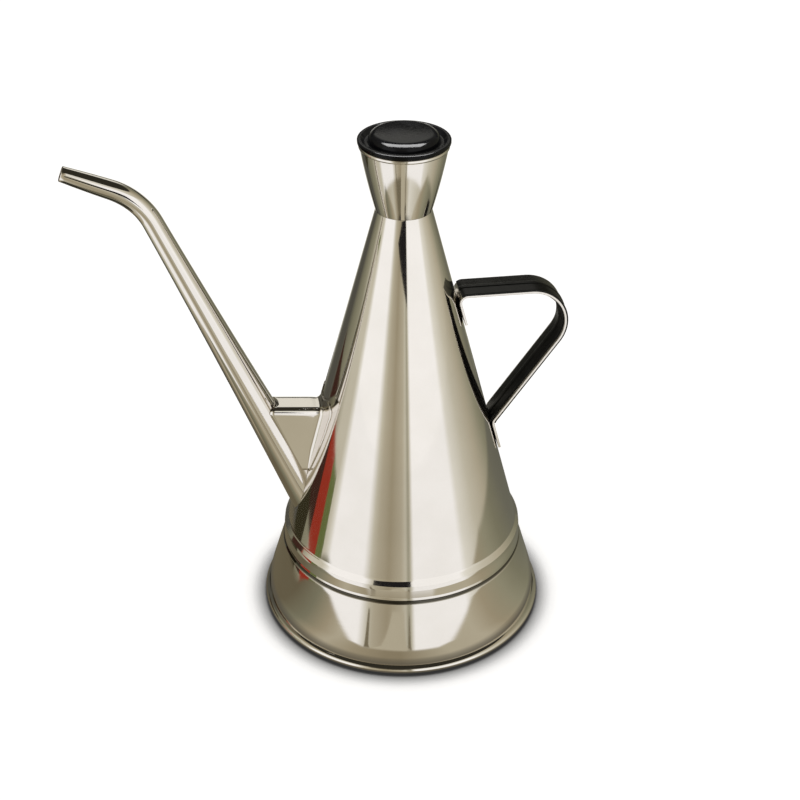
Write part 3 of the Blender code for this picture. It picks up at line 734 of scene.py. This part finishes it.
def brace_bottom():
    """Height at which the wall between spout and cone has its least length."""
    low, high = SPOUT_FOOT_HEIGHT, BRACE_HEIGHT
    for _ in range(HALVINGS):
        middle = (low + high) / 2
        across = brace_half_width(middle)
        length = brace_end_x(across, middle) - FLANGE_LEAST - brace_start_x(across, middle)
        low, high = (middle, high) if length < BRACE_LEAST_LENGTH else (low, middle)
    return high


def build_brace():
    """Lines at (y, z) from the spout to x = -sqrt(R(z)^2 - y^2), folded out along the cone."""
    roof = BRACE_HEIGHT - BRACE_SHEET
    shoulder = roof - BRACE_CORNER
    bottom = brace_bottom()
    share = np.linspace(0, 1, BRACE_WALL_ROWS + 1)[:-1]
    wall = bottom + (shoulder - bottom) * share
    corner = np.linspace(0, math.pi / 2, BRACE_CORNER_ROWS + 1)
    middle = brace_half_width(shoulder) - BRACE_CORNER
    flat = np.linspace(1, 0, BRACE_ROOF_ROWS + 1)[1:]
    across = np.concatenate([
        brace_half_width(wall), middle + BRACE_CORNER * np.cos(corner), middle * flat])
    rise = np.concatenate([
        wall, shoulder + BRACE_CORNER * np.sin(corner), np.full(len(flat), roof)])
    out_y = np.concatenate([np.ones(len(wall)), np.cos(corner), np.zeros(len(flat))])
    out_z = np.concatenate([np.zeros(len(wall)), np.sin(corner), np.ones(len(flat))])
    turns, sizes = np.array(FLANGE_ROUND_CORNER).T
    width = np.concatenate([
        FLANGE_LEAST + (FLANGE_WIDTH - FLANGE_LEAST) * np.sin(math.pi / 2 * share),
        np.interp(corner, np.radians(turns), sizes * FLANGE_WIDTH),
        np.linspace(sizes[-1], FLANGE_MIDDLE_SHARE, BRACE_ROOF_ROWS + 1)[1:] * FLANGE_WIDTH,
    ])
    fold = np.minimum(FOLD_RADIUS, width / 2)
    end = brace_end_x(across, rise)
    start = end
    for _ in range(SETTLING_ROUNDS):
        start = brace_start_x(across, rise + BRACE_SLOPE * (end - start))
    near = end - fold
    columns = []
    for t in np.linspace(0, 1, BRACE_STEPS + 1)[:-1]:
        x = start + (near - start) * t
        columns.append(np.stack([x, across, rise + BRACE_SLOPE * (end - x)], 1))
    for turn in np.linspace(0, math.pi / 2, FOLD_STEPS + 1):
        out = fold * (1 - math.cos(turn))
        y, z = across + out_y * out, rise + out_z * out
        columns.append(np.stack([brace_end_x(y, z) - fold * (1 - math.sin(turn)), y, z], 1))
    for t in np.linspace(0, 1, FLANGE_STEPS + 1)[1:]:
        out = fold + (width - fold) * t
        y, z = across + out_y * out, rise + out_z * out
        columns.append(np.stack([brace_end_x(y, z), y, z], 1))
    half = np.stack(columns, 1)
    grid = np.concatenate([half, half[-2::-1] * (1, -1, 1)])
    faces = grid_faces(*grid.shape[:2], False, False)
    brace = new_object("brace", grid.reshape(-1, 3).tolist(), faces, drawn_steel)
    brace.data.shade_smooth()
    solid = brace.modifiers.new("sheet", "SOLIDIFY")
    solid.thickness = BRACE_SHEET
    solid.offset = 1.0
    solid.use_even_offset = True
    dress(brace, "vessel", "spout_brace")


# ---------------------------------------------------------------- handle

def handle_root(height):
    """Where the strap's centre line stands on the cone at a height."""
    stand_off = (HAIRLINE + STRAP_THICKNESS / 2) / math.cos(CONE_ANGLE)
    return np.array([cone_radius(height) + stand_off, height])


def handle_line():
    """The strap's centre line from the top tab's end to the low tab's end."""
    down = np.array([math.sin(CONE_ANGLE), -math.cos(CONE_ANGLE)])
    top, low = handle_root(HANDLE_TOP_HEIGHT), handle_root(HANDLE_LOW_HEIGHT)
    return filleted([
        (*(top + down * TAB_LENGTH), 0),
        (*top, TAB_BEND),
        (HANDLE_POINT, HANDLE_TOP_HEIGHT, HANDLE_CORNER_RADIUS),
        (*low, TAB_BEND),
        (*(low + down * TAB_LENGTH), 0),
    ], step=math.radians(3))


def trimmed(line, length):
    """The line without a length at each end."""
    away = np.concatenate([[0], np.cumsum(np.linalg.norm(np.diff(line, axis=0), axis=1))])
    bounds = (length, away[-1] - length)
    inside = (away > bounds[0]) & (away < bounds[1])
    ends = [[np.interp(place, away, line[:, axis]) for axis in (0, 1)] for place in bounds]
    return np.concatenate([ends[:1], line[inside], ends[1:]])


def strip(near, far, half, edge):
    """A strip's section (out, across) from near to far, with rounded long edges."""
    return filleted([
        ((near + far) / 2, -half, 0), (far, -half, edge), (far, half, edge),
        (near, half, edge), (near, -half, edge), ((near + far) / 2, -half, 0),
    ], step=math.radians(30))[:-1]


def ribbed(near, far, half):
    """A cover's section with a low rib along its middle."""
    rib = RIB_WIDTH / 2
    crest = rib - RIB_HEIGHT * 2
    edge = (far - near) * COVER_EDGE_SHARE
    return filleted([
        (near, 0, 0), (near, half, 0), (far, half, edge), (far, rib, RIB_EDGE),
        (far + RIB_HEIGHT, crest, RIB_EDGE), (far + RIB_HEIGHT, -crest, RIB_EDGE),
        (far, -rib, RIB_EDGE), (far, -half, edge), (near, -half, 0), (near, 0, 0),
    ], step=math.radians(20))[:-1]


def build_handle():
    """The strap, and a black cover on each face of its legs."""
    line = handle_line()
    half = STRAP_THICKNESS / 2
    swept("handle_strap_sheet", line, strip(-half, half, STRAP_WIDTH / 2, STRAP_EDGE),
          strap_steel, "vessel", "handle_strap")
    near = half + COVER_GAP
    far = near + COVER_THICKNESS
    legs = trimmed(line, TAB_LENGTH - COVER_LAP)
    swept("cover_outer", legs, ribbed(near, far, STRAP_WIDTH / 2 - OUTER_COVER_INSET),
          cover_black, "vessel", "handle_cover_outer")
    swept("cover_inner", legs, ribbed(near, far, STRAP_WIDTH / 2 - INNER_COVER_INSET) * (-1, 1),
          cover_black, "vessel", "handle_cover_inner")


turned("cone", cone_outline(), drawn_steel, "vessel", "body_cone", CONE_SIDES)
turned("foot", foot_outline(), foot_steel, "vessel", "foot_skirt", CONE_SIDES)
turned("pan", pan_outline(), pan_steel, "vessel", "base_pan", PAN_SIDES)
turned("cup", cup_outline(), spun_steel, "vessel", "filler_cup", CUP_SIDES)
stopper = turned("stopper_moulding", stopper_outline(), stopper_black, "stopper", "stopper",
                 STOPPER_SIDES)
build_spout()
build_brace()
build_handle()


# ---------------------------------------------------------------- studio

# Camera: how far the object is turned for it, where it stands, and its angles in radians
CAMERA_TURN = math.radians(9)
CAMERA_AWAY = 565.45 * MM
CAMERA_HEIGHT = 464.62 * MM
CAMERA_PITCH = 0.5662
CAMERA_YAW = -0.0019
CAMERA_ROLL = 0.0059
LENS = 67.5
SENSOR_WIDTH = 36
CLIP_START = 0.01

# Shades of the studio: the soft boxes' white, the cloth beside and between them, and the dark room
WHITE, CREAM, BEIGE, TAN = (243, 238, 232), (218, 212, 198), (191, 183, 163), (172, 162, 139)
SAND, KHAKI, OLIVE, BROWN = (152, 140, 115), (138, 133, 110), (118, 114, 93), (112, 102, 81)
CLAY, GREY, EARTH = (134, 122, 98), (102, 99, 85), (98, 89, 69)
DARK, ROOM = (78, 75, 66), (44, 41, 33)

# Shades at azimuths from the camera: of the wall low down and high up, and of the table's painted
# shade at the foot
WALL_STOPS = (
    (-180, CREAM), (-168, CREAM), (-155, GREY), (-145, DARK), (-128, DARK), (-115, OLIVE),
    (-100, KHAKI), (-88, BEIGE), (-76, BEIGE), (-71, CREAM), (-68, WHITE), (-34, WHITE),
    (-27, BEIGE), (-22, TAN), (-11, SAND), (0, TAN), (4, BEIGE), (6.5, KHAKI), (8.5, BEIGE),
    (11, WHITE), (55, WHITE), (61, CREAM), (78, BEIGE), (97, TAN), (118, KHAKI), (133, OLIVE),
    (147, GREY), (160, OLIVE), (180, CREAM),
)
HIGH_STOPS = (
    (-180, CREAM), (-167, CREAM), (-152, GREY), (-112, EARTH), (-92, SAND), (-70, TAN),
    (-40, BEIGE), (-29, SAND), (-22, BROWN), (-4, BROWN), (9, TAN), (20, CREAM), (55, BEIGE),
    (85, TAN), (110, SAND), (140, OLIVE), (152, GREY), (167, CREAM), (180, CREAM),
)
TABLE_SHADE_STOPS = (
    (-180, DARK), (-115, EARTH), (-80, EARTH), (-64, OLIVE), (-50, SAND), (-40, TAN), (-25, SAND),
    (-8, CLAY), (0, CLAY), (25, TAN), (48, TAN), (62, SAND), (80, KHAKI), (96, OLIVE), (118, GREY),
    (180, DARK),
)

# Wall: (radius, height) of its rows, and the heights between which one band passes into the next
WALL_ROWS = ((1.0, -0.01), (1.0, 0.9), (1.0, 1.8), (0.3, 2.2), (0.001, 2.2))
WALL_SIDES = 128
LOW_TO_HIGH = (0.79, 0.84)
HIGH_TO_ROOM = (1.22, 1.32)

# Cards: name, height of the lower edge at each side, of the upper edge, azimuths, distance, shade
CARDS = (
    ("camera_card", (0.217, 0.167), 0.27, (-24.5, 8.5), 0.30, (28, 26, 26)),
    ("brown_card", (0.12, 0.12), 0.26, (-124, -99), 0.93, (58, 36, 28)),
    ("red_card", (0.12, 0.12), 0.26, (-99, -86), 0.93, (142, 48, 33)),
    ("green_card", (0.12, 0.12), 0.25, (-86, -78), 0.93, (96, 103, 58)),
    ("black_card", (0.26, 0.26), 0.38, (-130, -108), 0.93, (50, 46, 30)),
    ("back_card_left", (0.34, 0.34), 0.61, (-180, -142), 0.93, (46, 43, 35)),
    ("back_card_right", (0.34, 0.34), 0.61, (142, 180), 0.93, (46, 43, 35)),
)

# Floor: its half size, the contact shadow's reach, the range of open air that is carried to a
# range of shade there, and the light that the camera sees it give
FLOOR_HALF = 4.0
CONTACT_REACH = 11 * MM
CONTACT_SHADE = (0.48, 1.0, 0.2, 1.0)
FLOOR_GLOW = 0.6
FLOOR_DIM = 0.15
BLACK_LIGHT = (0.0, 0.0, 0.0, 1.0)
WHITE_LIGHT = (1.0, 1.0, 1.0, 1.0)
MIRROR_TINT = (0.95, 0.95, 0.95, 1.0)
MIRROR_ROUGHNESS = 0.03

# Table that the steel sees: distances from the axis over which the painted contact shadow passes
# into the dull ring of painted shade, that ring into the mirror, and the seams end. The ring widens
# between two azimuths on each side, and far to the left only a share of that width is left
CONTACT_SHADOW_TINT = (0.11, 0.10, 0.08, 1.0)
CONTACT_SHADOW_EDGE = (0.066, 0.078)
DULL_EDGE = (0.096, 0.120)
DULL_SPREAD = 0.15
DULL_SIDES = (22, 75)
DULL_LEFT = (-85, -62)
DULL_LEFT_SHARE = 0.15
SEAM_REACH = (0.265, 0.29)
SEAM_FRONT = (-0.07, -0.05)

# Seams: (x share, y share, bounds, softness) of two bands; cloth: (bounds, softness) in x and y
SEAMS = ((0.891, -0.454, 0.0105, 0.0170, 0.0010), (0.9925, 0.122, -0.0062, -0.0014, 0.0008))
CLOTH_X = (-0.034, 0.0105, 0.003)
CLOTH_Y = (-0.30, -0.095, 0.006)

# Lamp: a soft box over the stopper, (width, depth) in metres, and its power in watts
LAMP_PLACE = (0.0, -0.09, 1.1)
LAMP_TARGET = (0.0, 0.0, 0.23)
LAMP_SIZE = (1.6, 0.65)
LAMP_POWER = 130

# World
WORLD_TINT = (1.0, 0.98, 0.95, 1.0)
WORLD_STRENGTH = 0.6


def build_camera():
    """A camera in front, raised and pitched down, turned a little towards the spout."""
    pitch, yaw, roll = CAMERA_PITCH, CAMERA_YAW, CAMERA_ROLL
    forward = np.array([
        math.sin(yaw) * math.cos(pitch), math.cos(yaw) * math.cos(pitch), -math.sin(pitch)])
    level = np.array([math.cos(yaw), -math.sin(yaw), 0])
    lift = np.cross(level, forward)
    right = level * math.cos(roll) + lift * math.sin(roll)
    up = lift * math.cos(roll) - level * math.sin(roll)
    place = Matrix((
        (right[0], up[0], -forward[0], 0),
        (right[1], up[1], -forward[1], -CAMERA_AWAY),
        (right[2], up[2], -forward[2], CAMERA_HEIGHT),
        (0, 0, 0, 1),
    ))
    data = bpy.data.cameras.new("camera")
    data.lens = LENS
    data.sensor_width = SENSOR_WIDTH
    data.clip_start = CLIP_START
    camera = bpy.data.objects.new("camera", data)
    bpy.context.scene.collection.objects.link(camera)
    camera.matrix_world = Matrix.Rotation(-CAMERA_TURN, 4, "Z") @ place
    bpy.context.scene.camera = camera


def stage_mesh(name, vertices, faces, material):
    """A stage object, turned to face the camera."""
    obj = new_object(name, vertices, faces, material)
    obj.rotation_euler = (0, 0, -CAMERA_TURN)
    return obj


def only_in_reflections(obj):
    """Let only glossy rays see a stage object."""
    obj.visible_camera = False
    obj.visible_diffuse = False
    obj.visible_shadow = False
    obj.visible_transmission = False
    obj.visible_volume_scatter = False


def before_steel(shade):
    """The linear colour that takes on a shade once steel reflects it."""
    return tuple(np.array(colour(*shade)) / np.array(STEEL))


def share_at(azimuth):
    """An azimuth in degrees as a share of the full turn, one half towards the camera."""
    return azimuth / 360 + 0.5


def round_stops(table):
    """Stops of a ramp round the axis, from azimuths and shades."""
    return [(share_at(azimuth), before_steel(shade)) for azimuth, shade in table]


def round_share(x, y):
    """The share of the full turn at which a point lies round the axis."""
    return x.apply("ARCTAN2", 0.0 - y) / (2 * math.pi) + 0.5


def floor_seen(s, is_camera_ray):
    """A white floor that darkens close to the foot, and glows for the camera alone."""
    reach = {"Distance": CONTACT_REACH}
    near = s.number("ShaderNodeAmbientOcclusion", {"samples": 16}, reach, "AO")
    open_air = s.remap(near, *CONTACT_SHADE)
    white = s.blend(open_air * open_air, BLACK_LIGHT, WHITE_LIGHT)
    dim = s.blend(FLOOR_DIM, white, BLACK_LIGHT)
    diffuse = s.node("ShaderNodeBsdfDiffuse", {}, {"Color": dim}).outputs[0]
    lit = s.node("ShaderNodeAddShader", {}, {0: diffuse, 1: s.glow(white, FLOOR_GLOW)}).outputs[0]
    return s.mix(is_camera_ray, diffuse, lit)


def table_reflected(s):
    """Glossy white table; near the foot dull, with painted shade and contact shadow; two seams and
    a cloth in front.
    """
    x, y, _ = s.place()
    away = s.number("ShaderNodeVectorMath", {"operation": "LENGTH"}, {0: s.coordinates()}, 1)
    share = round_share(x, y)
    side = (share - 0.5).apply("ABSOLUTE")
    sides = [azimuth / 360 for azimuth in DULL_SIDES]
    left_edge = [share_at(azimuth) for azimuth in DULL_LEFT]
    spread = (s.remap(side, *sides, 0.0, DULL_SPREAD)
              * s.remap(share, *left_edge, DULL_LEFT_SHARE, 1.0, True))
    # The dull ring, where a glow of painted shade takes the mirror's place
    dull = s.remap(away - spread, *DULL_EDGE, 1.0, 0.0, True)
    # Painted shade: the table's colours round the foot, seen only in the steel
    table_shade = s.ramp(share, round_stops(TABLE_SHADE_STOPS))
    # Painted contact shadow: near black closest to the foot, seen only in the steel
    foot = s.blend(s.remap(away, *CONTACT_SHADOW_EDGE, 0.0, 1.0), CONTACT_SHADOW_TINT, table_shade)
    gloss = {"Color": MIRROR_TINT, "Roughness": MIRROR_ROUGHNESS}
    mirror = s.node("ShaderNodeBsdfGlossy", {}, gloss).outputs[0]
    table = s.mix(dull, mirror, s.glow(foot))
    left, right = (s.window(x * along + y * across, *band) for along, across, *band in SEAMS)
    front = s.remap(away, *SEAM_REACH, 1.0, 0.0, True) * s.remap(y, *SEAM_FRONT, 1.0, 0.0, True)
    seams = (left + right) * front * (1 - dull)
    table = s.mix(seams, table, s.glow((*before_steel(BROWN), 1.0)))
    cloth = s.window(x, *CLOTH_X) * s.window(y, *CLOTH_Y) * (1 - dull)
    return s.mix(cloth, table, s.glow((*before_steel(TAN), 1.0)))


def build_floor():
    """A floor that is plain and white for the camera and a glossy table for the steel."""
    material, s = new_shader("floor_white")
    ray = s.node("ShaderNodeLightPath")
    seen = floor_seen(s, ray.outputs["Is Camera Ray"])
    s.finish(s.mix(ray.outputs["Is Glossy Ray"], seen, table_reflected(s)))
    corners = [(x * FLOOR_HALF, y * FLOOR_HALF, 0) for x, y in ((-1, -1), (1, -1), (1, 1), (-1, 1))]
    stage_mesh("floor", corners, [(0, 1, 2, 3)], material)


def build_wall():
    """Rings (r cos a, r sin a, z): two soft boxes with a dim gap between, duller sides and back."""
    material, s = new_shader("wall_light")
    x, y, z = s.place()
    share = round_share(x, y)
    low, high = (s.ramp(share, round_stops(table)) for table in (WALL_STOPS, HIGH_STOPS))
    both = s.blend(s.remap(z, *LOW_TO_HIGH, 0.0, 1.0, True), low, high)
    room = (*before_steel(ROOM), 1.0)
    s.finish(s.glow(s.blend(s.remap(z, *HIGH_TO_ROOM, 0.0, 1.0, True), both, room)))
    angles = np.linspace(0, 2 * math.pi, WALL_SIDES, endpoint=False)
    ring = np.stack([np.cos(angles), np.sin(angles)], 1)
    vertices = np.concatenate([np.column_stack([ring * radius, np.full(WALL_SIDES, height)])
                               for radius, height in WALL_ROWS])
    faces = grid_faces(len(WALL_ROWS), WALL_SIDES, False, True)
    only_in_reflections(stage_mesh("wall", vertices.tolist(), faces, material))


def build_card(name, low, high, azimuths, away, shade):
    """An upright card that only reflections show, from one azimuth to another."""
    material, s = new_shader(name + "_card")
    s.finish(s.glow((*before_steel(shade), 1.0)))
    feet = [(away * math.sin(math.radians(azimuth)), -away * math.cos(math.radians(azimuth)))
            for azimuth in azimuths]
    points = [(*foot, bottom) for foot, bottom in zip(feet, low)]
    points += [(*foot, high) for foot in feet[::-1]]
    only_in_reflections(stage_mesh(name, points, [(0, 1, 2, 3)], material))


def build_lamp(name, only):
    """A soft box aimed at the stopper, which lights one object alone."""
    data = bpy.data.lights.new(name, "AREA")
    data.shape = "RECTANGLE"
    data.size, data.size_y = LAMP_SIZE
    data.energy = LAMP_POWER
    lamp = bpy.data.objects.new(name, data)
    bpy.context.scene.collection.objects.link(lamp)
    lamp.location = Matrix.Rotation(-CAMERA_TURN, 3, "Z") @ Vector(LAMP_PLACE)
    lamp.rotation_euler = (Vector(LAMP_TARGET) - lamp.location).to_track_quat("-Z", "Y").to_euler()
    lit = bpy.data.collections.new(name + "_lit")
    lit.objects.link(only)
    lamp.light_linking.receiver_collection = lit


def build_world():
    """White for the camera, and an even soft light for the rest."""
    world = bpy.data.worlds.new("world")
    bpy.context.scene.world = world
    s = Shader(world)
    ray = s.node("ShaderNodeLightPath")
    light = s.node("ShaderNodeBackground", {}, {"Color": WORLD_TINT, "Strength": WORLD_STRENGTH})
    seen = s.node("ShaderNodeBackground", {}, {"Color": WHITE_LIGHT, "Strength": 1.0})
    both = s.mix(ray.outputs["Is Camera Ray"], light.outputs[0], seen.outputs[0])
    s.finish(both, "ShaderNodeOutputWorld")


build_camera()
build_floor()
build_wall()
for card in CARDS:
    build_card(*card)
build_lamp("overhead", stopper)
build_world()
bpy.context.scene.view_settings.view_transform = "Standard"
